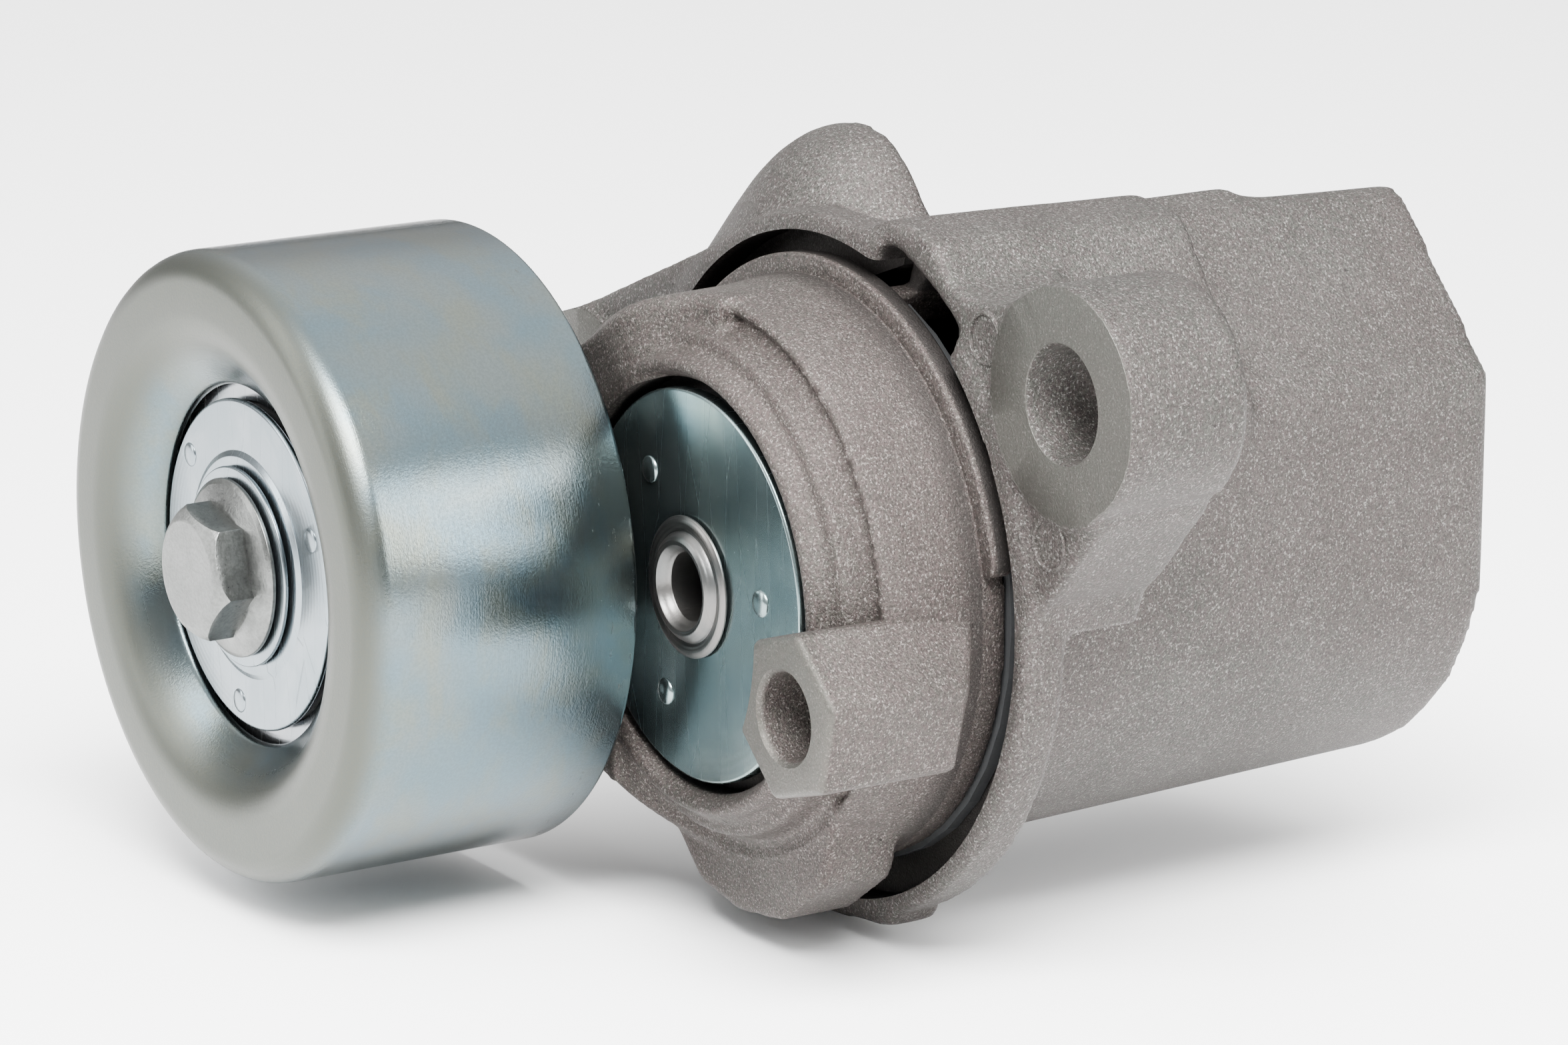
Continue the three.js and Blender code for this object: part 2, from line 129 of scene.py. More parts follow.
SHIELD_RADIUS = 17.08
SHIELD_BORE = 4.6
WASHER_RADIUS = 10.3
BOLT_RADIUS = 4.0
BOLT_FLANGE_RADIUS = 9.2
DISC_RADIUS = 19.9
DISC_BORE = 6.6
SHAFT_RADIUS = 8.0
SHAFT_BORE = 4.4
SHAFT_SHOULDER = -76.6

# metres
FLOOR_SIZE = 8.0
FLOOR_GAP = 0.0005
CAMERA_PLACE = (0.4926, -0.3858, 0.1545)
CAMERA_DIRECTION = (-0.814, 0.526, -0.247)
CAMERA_LENS = 138.98  # millimetres


class TensionerSizes(bpy.types.PropertyGroup):
    """Sizes of the modelled pieces, in metres."""

    turn_steps: IntProperty(
        name="Turning steps", description="Steps round a large turned piece", default=144, min=24, max=256)
    housing_grid: FloatProperty(
        name="Housing grid", description="Mesh size of the cast housing",
        default=0.72 * MM, min=0.3 * MM, unit="LENGTH", subtype="DISTANCE", precision=5)
    arm_grid: FloatProperty(
        name="Arm grid", description="Mesh size of the cast arm",
        default=0.46 * MM, min=0.3 * MM, unit="LENGTH", subtype="DISTANCE", precision=5)
    pulley_radius: FloatProperty(
        name="Pulley radius", description="Radius of the face that the belt runs on",
        default=radius_of("pulley_shell") * MM, unit="LENGTH", subtype="DISTANCE", precision=5)
    pulley_edge: FloatProperty(
        name="Pulley edge", description="Radius of the pulley's front edge",
        default=3.1 * MM, unit="LENGTH", subtype="DISTANCE", precision=5)
    bolt_across_flats: FloatProperty(
        name="Bolt across flats", description="Width of the bolt's hexagon",
        default=12.2 * MM, unit="LENGTH", subtype="DISTANCE", precision=5)
    ear_hole_radius: FloatProperty(
        name="Ear hole radius", description="Radius of the mounting ears' bolt holes",
        default=5.55 * MM, unit="LENGTH", subtype="DISTANCE", precision=5)


def colour(name, description, value):
    return FloatVectorProperty(
        name=name, description=description, subtype="COLOR", size=3, min=0.0, max=1.0, default=value)


class TensionerFinishes(bpy.types.PropertyGroup):
    """Colours of the finishes."""

    housing_cast: colour("Housing casting", "Cast aluminium of the housing", (0.064, 0.0612, 0.058))
    arm_cast: colour("Arm casting", "Blasted aluminium of the arm", (0.066, 0.0598, 0.056))
    # this colour also serves as the painted shade in the castings' hollows
    cast_speck_and_shade: colour("Casting speck", "Dark specks in the castings", (0.020, 0.018, 0.017))
    machined: colour("Machined face", "Faces cut after casting", (0.082, 0.083, 0.071))
    zinc: colour("Zinc", "Zinc plating on the pulley's rim", (0.108, 0.128, 0.127))
    zinc_warm: colour("Zinc, warm", "Zinc plating on the pulley's front", (0.072, 0.075, 0.063))
    bright: colour("Bright plate", "Shield and washer", (0.21, 0.238, 0.255))
    galvanised: colour("Galvanised", "Bolt", (0.165, 0.17, 0.164))
    disc: colour("Plated disc", "Disc over the arm's recess", (0.185, 0.232, 0.232))
    turned_steel: colour("Turned steel", "End of the pivot shaft", (0.12, 0.115, 0.11))
    bearing: colour("Bearing steel", "Rings and balls", (0.25, 0.255, 0.265))
    spring: colour("Spring steel", "Spring and its seats", (0.07, 0.075, 0.08))
    polymer: colour("Dark polymer", "Washers, seals and the friction ring", (0.012, 0.013, 0.014))
    bush: colour("Bush", "Bushes and ball cage", (0.38, 0.27, 0.12))
    floor: colour("Floor", "Floor under the tensioner", (0.94, 0.94, 0.94))


# ---- modelling -------------------------------------------------------------------------------------
def deselect():
    if bpy.context.object and bpy.context.object.mode != "OBJECT":
        bpy.ops.object.mode_set(mode="OBJECT")
    bpy.ops.object.select_all(action="DESELECT")


def pick(piece):
    deselect()
    piece.select_set(True)
    bpy.context.view_layer.objects.active = piece
    return piece


def on_circle(radius, angle, centre=PIVOT):
    return centre[0] + radius * cos(radians(angle)), centre[1] + radius * sin(radians(angle))


def arc(radius, start, end, steps, centre=PIVOT):
    return [on_circle(radius, start + (end - start) * i / steps, centre) for i in range(steps + 1)]


def rounded(corners, steps=5):
    """A closed outline from its corners, each (a, b) or (a, b, radius)."""
    points = []
    for i, corner in enumerate(corners):
        here = Vector(corner[:2])
        if len(corner) == 2:
            points.append(tuple(here))
            continue
        back = (Vector(corners[i - 1][:2]) - here).normalized()
        ahead = (Vector(corners[(i + 1) % len(corners)][:2]) - here).normalized()
        half = back.angle(ahead) / 2
        centre = here + (back + ahead).normalized() * corner[2] / sin(half)
        start = here + back * corner[2] / tan(half) - centre
        end = here + ahead * corner[2] / tan(half) - centre
        for k in range(steps + 1):
            points.append(tuple(centre + start.lerp(end, k / steps).normalized() * corner[2]))
    return points


def draw(points, name):
    """An open line through points in millimetres, left in edit mode with all of it selected."""
    deselect()
    bpy.ops.mesh.primitive_plane_add(size=MM, location=(0, 0, 0))
    piece = bpy.context.object
    piece.name = name
    bpy.ops.object.mode_set(mode="EDIT")
    bpy.ops.mesh.merge(type="CENTER")
    here = Vector(points[0])
    bpy.ops.transform.translate(value=here * MM)
    for point in points[1:]:
        step = (Vector(point) - here) * MM
        here = Vector(point)
        bpy.ops.mesh.extrude_vertices_move(TRANSFORM_OT_translate={"value": step})
    bpy.ops.mesh.select_all(action="SELECT")
    return piece


def turned(name, profile, centre=PIVOT, steps=None, closed=True):
    """A (radius, y) profile spun round an axis along Y. An open profile starts and ends on the axis."""
    steps = steps or bpy.context.scene.tensioner_sizes.turn_steps
    points = [(centre[0] + r, y, centre[1]) for r, y in profile]
    if closed:
        points.append(points[0])
    piece = draw(points, name)
    bpy.ops.mesh.remove_doubles(threshold=1e-6)
    bpy.ops.mesh.spin(
        steps=steps, angle=2 * pi, center=(centre[0] * MM, 0, centre[1] * MM), axis=(0, 1, 0))
    bpy.ops.mesh.select_all(action="SELECT")
    bpy.ops.mesh.remove_doubles(threshold=2e-6)
    bpy.ops.mesh.normals_make_consistent(inside=False)
    bpy.ops.object.mode_set(mode="OBJECT")
    return piece


def prism(name, outline, front, rear, front_scale=1.0):
    """An (x, z) outline filled and extruded from front to rear, wider at the front by front_scale."""
    points = [(x, rear, z) for x, z in outline]
    piece = draw(points, name)
    bpy.ops.mesh.edge_face_add()
    bpy.ops.mesh.extrude_region_move(TRANSFORM_OT_translate={"value": (0, (front - rear) * MM, 0)})
    if front_scale != 1.0:
        bpy.ops.transform.resize(
            value=(front_scale, 1, front_scale), center_override=(0, front * MM, 0))
    bpy.ops.mesh.select_all(action="SELECT")
    bpy.ops.mesh.normals_make_consistent(inside=False)
    bpy.ops.object.mode_set(mode="OBJECT")
    return piece


def rod(name, radius, front, rear, centre=PIVOT, steps=64):
    return turned(name, [(0, front), (radius, front), (radius, rear), (0, rear)], centre, steps, closed=False)


def ball(name, radius, place, squash, steps):
    """A sphere at a place in millimetres, scaled by squash along each axis."""
    deselect()
    bpy.ops.mesh.primitive_uv_sphere_add(
        segments=steps, ring_count=steps // 2, radius=radius * MM, location=Vector(place) * MM)
    piece = bpy.context.object
    piece.name = name
    piece.scale = squash
    bpy.ops.object.transform_apply(location=True, rotation=True, scale=True)
    return piece


def settle(piece, modifier):
    """Applies a modifier that was just added."""
    pick(piece)
    bpy.ops.object.modifier_apply(modifier=modifier.name)


def combine(piece, others, operation="UNION"):
    """Adds the others to a piece, or cuts them from it, one by one."""
    for other in others:
        modifier = piece.modifiers.new(operation.title(), "BOOLEAN")
        modifier.operation = operation
        modifier.object = other
        modifier.solver = "EXACT"
        settle(piece, modifier)
        bpy.data.objects.remove(other)
    return piece


def cast(piece, grid, passes):
    """Turns a solid's sharp edges into a casting's soft ones."""
    remesh = piece.modifiers.new("Grid", "REMESH")
    remesh.mode = "VOXEL"
    remesh.voxel_size = grid
    settle(piece, remesh)
    smooth = piece.modifiers.new("Soften", "SMOOTH")
    smooth.factor = 0.5
    smooth.iterations = passes
    settle(piece, smooth)
    return piece


def bevel(piece, width, segments, angle):
    """Rounds the edges sharper than an angle, by a width in millimetres."""
    modifier = piece.modifiers.new("Edge", "BEVEL")
    modifier.width = width * MM
    modifier.segments = segments
    modifier.limit_method = "ANGLE"
    modifier.angle_limit = radians(angle)
    settle(piece, modifier)
    return piece


def finish_piece(piece, body, nodes, material, angle):
    """Parents a finished piece to its body, hides the frame's nodes that it stands for, and paints it."""
    pick(piece)
    bpy.ops.object.transform_apply(location=True, rotation=True, scale=True)
    bpy.ops.object.shade_smooth_by_angle(angle=radians(angle))
    piece.data.materials.clear()
    piece.data.materials.append(material)
    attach(piece, body)
    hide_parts(*nodes)
    return piece


# ---- materials ---------------------------------------------------------------------------------------
class Socket:
    """An output of a material's node, for arithmetic that adds Math nodes."""

    def __init__(self, paint, output):
        self.paint = paint
        self.output = output

    def maths(self, operation, *values):
        return self.paint.node("ShaderNodeMath", {"operation": operation}, dict(enumerate(values)))

    def __add__(self, other):
        return self.maths("ADD", self, other)

    __radd__ = __add__

    def __sub__(self, other):
        return self.maths("SUBTRACT", self, other)

    def __rsub__(self, other):
        return self.maths("SUBTRACT", other, self)

    def __mul__(self, other):
        return self.maths("MULTIPLY", self, other)

    def __truediv__(self, other):
        return self.maths("DIVIDE", self, other)

    def __pow__(self, other):
        return self.maths("POWER", self, other)

    def root(self):
        return self.maths("SQRT", self)

    def sine(self):
        return self.maths("SINE", self)

    def most(self, other):
        return self.maths("MAXIMUM", self, other)


class Paint:
    """A material under construction. Lengths in its patterns are millimetres."""

    def __init__(self, name):
        self.material = bpy.data.materials.new(name)
        self.material.use_nodes = True
        self.tree = self.material.node_tree
        self.tree.nodes.clear()
        place = self.node("ShaderNodeTexCoord", outputs="Object")
        self.place = self.node("ShaderNodeVectorMath", {"operation": "SCALE"}, {0: place, "Scale": 1 / MM})
        self.x, self.y, self.z = self.split(self.place)

    @classmethod
    def of_tree(cls, tree):
        """The same way of adding nodes, for the world."""
        paint = cls.__new__(cls)
        paint.tree = tree
        tree.nodes.clear()
        return paint

    def node(self, kind, settings=None, values=None, outputs=0):
        """Adds a node: its settings first, then the values or links of its sockets."""
        made = self.tree.nodes.new(kind)
        for key, value in (settings or {}).items():
            setattr(made, key, value)
        for key, value in (values or {}).items():
            if isinstance(value, Socket):
                self.tree.links.new(value.output, made.inputs[key])
            elif made.inputs[key].type == "RGBA":
                made.inputs[key].default_value = (*value, 1.0)
            else:
                made.inputs[key].default_value = value
        return Socket(self, made.outputs[outputs]) if made.outputs else None

    def split(self, vector):
        made = self.node("ShaderNodeSeparateXYZ", values={0: vector}).output.node
        return [Socket(self, output) for output in made.outputs]

    def join(self, x, y, z):
        return self.node("ShaderNodeCombineXYZ", values={0: x, 1: y, 2: z})

    def stretched(self, factors):
        return self.node("ShaderNodeVectorMath", {"operation": "MULTIPLY"}, {0: self.place, 1: factors})

    def noise(self, size, detail=3.0, rough=0.55, vector=None, warp=0.0):
        """Noise of about a size, from 0 to 1."""
        return self.node("ShaderNodeTexNoise", values={
            "Vector": vector or self.place, "Scale": 1 / size, "Detail": detail,
            "Roughness": rough, "Distortion": warp})

    def cell_edges(self, size, vector):
        """Distance to the nearest edge between cells of about a size."""
        return self.node("ShaderNodeTexVoronoi", {"feature": "DISTANCE_TO_EDGE"}, {
            "Vector": vector, "Scale": 1 / size}, "Distance")

    def between(self, value, low, high, start=0.0, end=1.0):
        """A smooth step from start to end as value goes from low to high."""
        return self.node("ShaderNodeMapRange", {"interpolation_type": "SMOOTHSTEP"}, {
            0: value, 1: low, 2: high, 3: start, 4: end})

    def mix(self, factor, first, second):
        return self.node("ShaderNodeMix", {"data_type": "RGBA"}, {0: factor, 6: first, 7: second}, 2)

    def bump(self, height, depth):
        """Relief of a height from 0 to 1 times a depth in millimetres."""
        return self.node("ShaderNodeBump", values={
            "Height": height, "Distance": depth * MM, "Strength": 1.0})

    def radius(self, centre):
        """Distance from an axis along Y, in millimetres."""
        return ((self.x - centre[0]) ** 2 + (self.z - centre[1]) ** 2).root()

    def around(self, centre, across, along):
        """Coordinates that stretch a pattern round an axis, with no seam."""
        r = self.radius(centre)
        x = (self.x - centre[0]) / r * across
        z = (self.z - centre[1]) / r * across
        return self.join(x, self.y * along, z)

    def surface(self, base, roughness, metallic, normal=None):
        """Ends the material with its shader."""
        values = {"Base Color": base, "Roughness": roughness, "Metallic": metallic}
        if normal:
            values["Normal"] = normal
        shader = self.node("ShaderNodeBsdfPrincipled", values=values)
        self.node("ShaderNodeOutputMaterial", values={"Surface": shader})
        return self.material


def toned(base, factor):
    """A colour made darker or lighter."""
    return tuple(min(1.0, c * factor) for c in base)


def tinted(base, factors):
    """A colour with each channel times a factor of its own."""
    return tuple(c * factor for c, factor in zip(base, factors))


PIT_COLOUR = (0.02, 0.018, 0.018)
SCUFF_COLOUR = (0.07, 0.07, 0.065)


def cast_metal(name, base, speck_and_shade, grain, mark, machined, faces, painted_shade):
    """Blasted cast aluminium: fine grain, mottling, dark specks, tool marks, and painted shade in its
    hollows.
    """
    paint = Paint(name)
    fine = paint.noise(grain, 4.0, 0.72)
    coarse = paint.noise(grain * 4.0, 3.0, 0.6)
    mottle = paint.between(paint.noise(9.0, 4.0, 0.6, warp=0.6), 0.32, 0.68)
    patch = paint.between(paint.noise(24.0, 2.0, 0.5), 0.38, 0.62)
    tints = paint.noise(grain * 2.6, 3.0, 0.75, paint.stretched((1.0, 1.1, 0.9)))
    tints = paint.between(tints, 0.40, 0.60)
    dark = toned(base, 0.74)
    pink = tinted(base, (1.16, 0.94, 0.95))
    green = tinted(base, (0.95, 1.05, 0.92))
    shade = paint.mix(mottle, dark, toned(base, 1.25))
    shade = paint.mix(0.55, shade, paint.mix(tints, pink, green))
    shade = paint.mix(patch * 0.35, shade, pink)
    salt = paint.between(fine, 0.40, 0.58)
    shade = paint.mix(0.72 - salt * 0.72, shade, speck_and_shade)
    glint = paint.between(paint.noise(grain * 1.1, 3.0, 0.7), 0.56, 0.64)
    shade = paint.mix(glint * 0.75, shade, toned(base, 3.4))
    pits = paint.between(paint.noise(mark, 3.0, 0.65, warp=0.8), 0.70, 0.75)
    shade = paint.mix(pits * 0.8, shade, PIT_COLOUR)
    rough = 0.46 + fine * 0.2 + pits * 0.15
    relief = fine * 0.7 + coarse * 0.3
    depth = grain * 0.7
    cut = faces(paint)
    marks = paint.noise(0.35, 2.0, 0.5, paint.stretched((1.0, 1.0, 0.12)))
    shade = paint.mix(cut * 0.5, shade, machined)
    shade = paint.mix(cut * (0.30 - marks * 0.30), shade, dark)
    rough = rough - cut * 0.12
    relief = relief * (1.0 - cut * 0.45)
    # painted shade: the hollows' mask blends the colour towards the speck colour, for shade in gaps and
    # recesses
    shade = paint.mix(painted_shade(paint) * 0.85, shade, speck_and_shade)
    return paint.surface(shade, rough, 0.86, paint.bump(relief, depth))


def ear_faces(paint):
    """The machined faces round the ears' holes, and the holes."""
    near_right = paint.between(paint.radius(EAR_RIGHT), EAR_RADIUS + 0.5, EAR_RADIUS + 0.1)
    near_left = paint.between(paint.radius(EAR_LEFT), EAR_RADIUS + 0.5, EAR_RADIUS + 0.1)
    return (near_right + near_left) * paint.between(paint.y, RIM_FRONT + 0.12, RIM_FRONT + 0.04)


def housing_painted_shade(paint):
    """Painted shade: a mask that darkens the bore inside the rim and the pocket for the arm's stop, behind
    the rim's front.
    """
    radius = paint.radius(PIVOT)
    bore = paint.between(radius, 35.3, 34.6) * paint.between(paint.y, -57.5, -59.0)
    middle = radians((POCKET_FROM + POCKET_TO) / 2)
    facing = (paint.x * cos(middle) + paint.z * sin(middle)) / radius
    pocket = paint.between(radius, 37.1, 36.6) * paint.between(facing, 0.965, 0.972)
    outer = paint.between(paint.y, RIM_FRONT + 0.3, RIM_FRONT + 1.5)
    return bore.most(pocket * paint.between(paint.y, -51.6, -52.2)) * outer


def lug_face(paint):
    """The front of the wrench hexagon, which is milled."""
    return paint.between(paint.y, LUG_FRONT + 0.7, LUG_FRONT + 0.2)


def arm_painted_shade(paint):
    """Painted shade: a mask that darkens the arm's outer edge inside the rim, the corner by the flange, and
    the recess under the disc.
    """
    radius = paint.radius(PIVOT)
    edge = paint.between(radius, 31.2, 31.6) * paint.between(paint.y, -63.3, -62.8)
    corner = paint.between(radius, 28.8, 29.3) * paint.between(paint.y, -67.5, -64.3)
    corner = corner * paint.between(paint.y, -63.7, -64.0) * 0.75
    recess = paint.between(radius, 21.5, 21.1) * paint.between(paint.y, -78.2, -77.4)
    return edge.most(corner).most(recess)


def zinc_plate(name, cool, warm):
    """Zinc plating on the pulley: fine lines round the rim, faint tints, scuffs by the rear edge."""
    paint = Paint(name)
    radius = paint.radius(PULLEY)
    front = paint.between(paint.y, PULLEY_FRONT + 3.6, PULLEY_FRONT + 0.6)
    lines = paint.noise(1.0, 3.0, 0.6, paint.around(PULLEY, 2.2, 9.0))
    wide = paint.noise(7.0, 4.0, 0.6, paint.stretched((0.7, 1.3, 0.7)), warp=0.4)
    cloud = paint.between(paint.noise(14.0, 3.0, 0.55, warp=0.5), 0.35, 0.65)
    grain = paint.noise(0.28, 3.0, 0.7)
    blue = tinted(cool, (0.76, 0.95, 1.12))
    straw = tinted(cool, (1.12, 1.0, 0.78))
    shade = paint.mix(cloud, cool, blue)
    shade = paint.mix(paint.between(wide, 0.42, 0.70) * 0.6, shade, straw)
    shade = paint.mix(front, shade, warm)
    shade = paint.mix(paint.between(grain, 0.35, 0.65) * 0.30, shade, toned(cool, 0.55))
    scuff_zone = paint.between(paint.y, PULLEY_REAR - 9.0, PULLEY_REAR - 1.0)
    scuffs = paint.noise(1.6, 4.0, 0.75, paint.stretched((0.5, 1.6, 0.5)))
    scuffs = paint.between(scuffs, 0.60, 0.70) * scuff_zone
    specks = paint.between(paint.noise(1.1, 4.0, 0.7, warp=1.2), 0.735, 0.765)
    dirt = scuffs.most(specks * 0.8)
    shade = paint.mix(dirt * 0.75, shade, SCUFF_COLOUR)
    rough = 0.11 + lines * 0.08 + grain * 0.08 + front * 0.22 + dirt * 0.25
    # painted shade: darker inside the lip round the shield, for shade in the pulley's mouth
    inner_shade = paint.between(radius, 20.0, 17.0)
    shade = paint.mix(inner_shade * 0.6, shade, toned(warm, 0.45))
    height = lines * 0.25 + grain * 0.6
    return paint.surface(shade, rough, 0.97, paint.bump(height, 0.03))


def turned_plate(name, base, centre, rough, pitch, tint=0.1, depth=0.004, dirt=0.0):
    """Plated sheet or turned steel with fine rings round its centre."""
    paint = Paint(name)
    radius = paint.radius(centre)
    rings = ((radius * (2 * pi / pitch)).sine() + 1.0) * 0.5
    grain = paint.noise(0.3, 3.0, 0.65)
    cloud = paint.between(paint.noise(6.5, 3.0, 0.55, warp=0.7), 0.33, 0.67)
    dark = tinted(base, (1 - 1.6 * tint, 1 - 1.1 * tint, 1 - 0.9 * tint))
    shade = paint.mix(cloud, dark, toned(base, 1 + tint))
    spots = paint.between(paint.noise(0.9, 4.0, 0.72, warp=0.9), 0.70, 0.76)
    scratch = paint.between(
        paint.cell_edges(7.0, paint.stretched((2.4, 0.4, 0.25))), 0.006, 0.0)
    shade = paint.mix((spots * (0.5 + dirt)).most(scratch * 0.35), shade, toned(base, 0.3))
    value = rough + grain * 0.10 + spots * 0.2 + scratch * 0.15
    return paint.surface(shade, value, 0.98, paint.bump(rings * 0.6 + grain * 0.5, depth))


def galvanised(name, base):
    """Zinc coated bolt: a grainy head and smoother, darker flats."""
    paint = Paint(name)
    head = paint.between(paint.y, BOLT_FRONT + 1.3, BOLT_FRONT + 0.5)
    grain = paint.noise(0.42, 4.0, 0.7)
    cloud = paint.between(paint.noise(2.6, 3.0, 0.6), 0.35, 0.65)
    shade = paint.mix(cloud, toned(base, 0.72), base)
    shade = paint.mix(head * 0.5, shade, toned(base, 1.16))
    shade = paint.mix(paint.between(grain, 0.60, 0.40) * 0.35, shade, toned(base, 0.42))
    rough = 0.22 + grain * 0.16 + head * 0.12
    relief = grain * (0.35 + head * 0.65)
    return paint.surface(shade, rough, 0.95, paint.bump(relief, 0.09))


def wire_steel(name, base):
    """Drawn wire, mottled and slightly rough."""
    paint = Paint(name)
    grain = paint.noise(0.5, 4.0, 0.65)
    shade = paint.mix(grain, toned(base, 0.6), toned(base, 1.6))
    return paint.surface(shade, 0.35 + grain * 0.2, 0.95, paint.bump(grain, 0.02))


def moulded(name, base, rough):
    """Moulded polymer with a fine grain."""
    paint = Paint(name)
    grain = paint.noise(0.35, 3.0, 0.6)
    cloud = paint.noise(4.0, 2.0, 0.5)
    shade = paint.mix(cloud, toned(base, 0.8), toned(base, 1.3))
    return paint.surface(shade, rough + grain * 0.15, 0.0, paint.bump(grain, 0.015))


def backdrop(name, base):
    """The floor's matt paint."""
    paint = Paint(name)
    cloud = paint.noise(400.0, 2.0, 0.5)
    shade = paint.mix(cloud, toned(base, 0.985), base)
    return paint.surface(shade, 0.85, 0.0)


# ---- pieces --------------------------------------------------------------------------------------------
def can_outline(scale=1.0):
    """The can's section: round, flat on the right, its top falling to the left from a rounded crest."""
    upper = rounded([
        (CAN_RADIUS, 0), (CAN_RADIUS, CAN_SIDE_TOP, 2.0), (*CAN_CREST, 3.6),
        on_circle(CAN_RADIUS, CAN_ROUND_FROM)], 8)[1:-1]
    lower = arc(CAN_RADIUS, CAN_ROUND_FROM, 360, 48)
    return [(x * scale, z * scale) for x, z in lower + upper]


def housing_form():
    """The housing's outside, before its edges are softened."""
    body = prism("housing_form", can_outline(), -62.0, 0.0, front_scale=1.066)
    pad = prism("pad", rounded([
        (28.9, 12.5), (30.3, 18.9, 2.0), (17.6, 35.6, 4.0), (10.4, 36.5, 2.0), (-12, 28), (-12, 12.5)]),
        -62.3, PAD_REAR, front_scale=1.02)
    rib = prism("rib", [(-2, 28), (15, 28), (13.2, 34.2), (9.6, 35.8), (-2, 31.2)], -32.0, -20.0)
    ramp = prism(
        "ramp", [(-2, 26), (14, 26), (12.0, 33.2), (9.6, 33.8), (-2, 29.4)], -20.4, -14.0,
        front_scale=1.045)
    rim = rod("rim", 35.8, RIM_FRONT - 0.1, -58.0, steps=120)
    bump = prism("bump", rounded(
        [*arc(20.0, -98, -68, 2), *[(*p, 2.0) for p in (on_circle(37.6, -68), on_circle(37.6, -98))]]),
        RIM_FRONT, -57.0)
    right_plate = prism("right_plate", [
        (0, 0), (35.3, 0), (36.6, 3.6), (39.2, 5.6), (41.6, 8.4), (46.4, 13.6), EAR_RIGHT, (37.6, 35.2),
        (33.6, 33.9), (30.9, 32.5), (27.8, 31.6), (24.6, 31.5), (22.1, 32.0), (18.1, 33.8), (14.1, 36.2),
        (11.6, 36.8), (8.5, 36.2), (0, 34.0)], -62.3, EAR_REAR)
    foot = on_circle(35.3, 112.6)
    left_low = on_circle(35.3, -118.0)
    left_plate = prism("left_plate", [
        (0, 0), left_low, *arc(11.2, -118, -247.4, 16, EAR_LEFT), foot], -62.3, -52.0)
    right_ear = rod("right_ear", EAR_RADIUS, EAR_FRONT, EAR_REAR, EAR_RIGHT, 72)
    left_ear = rod("left_ear", EAR_RADIUS, EAR_FRONT, EAR_REAR, EAR_LEFT, 72)
    return combine(body, [
        pad, rib, ramp, rim, bump, right_plate, left_plate, right_ear, left_ear, tower_form()])


def tower_form():
    """The upper tower: a wedge with a rounded top, drawn in towards its front as a dome."""
    centre = (TOWER_X, EAR_REAR, TOWER_FOOT)
    outline = [
        (14.0, TOWER_FOOT), (-3.6, 37.6), (-4.9, 38.9), (-6.6, 40.3), (-8.6, 41.3), (-10.8, 41.8),
        (-13.2, 41.9), (-15.8, 41.6), (-18.4, 40.8), (-21.2, 39.3), (-24.0, 37.2), (-28.0, 33.4),
        (-43.0, TOWER_FOOT)]
    tower = draw([(x, EAR_REAR, z) for x, z in outline], "tower")
    bpy.ops.mesh.edge_face_add()
    reach, scale = 0.0, 1.0
    for i in range(1, TOWER_STEPS + 1):
        angle = pi / 2 * i / TOWER_STEPS
        forward, size = 1.0 + 11.5 * sin(angle), 0.4 + 0.6 * cos(angle)
        bpy.ops.mesh.extrude_region_move(
            TRANSFORM_OT_translate={"value": (0, (reach - forward) * MM, 0)})
        bpy.ops.transform.resize(
            value=(size / scale, 1, size / scale), center_override=Vector(centre) * MM)
        reach, scale = forward, size
    bpy.ops.mesh.select_all(action="SELECT")
    bpy.ops.mesh.normals_make_consistent(inside=False)
    bpy.ops.object.mode_set(mode="OBJECT")
    return tower


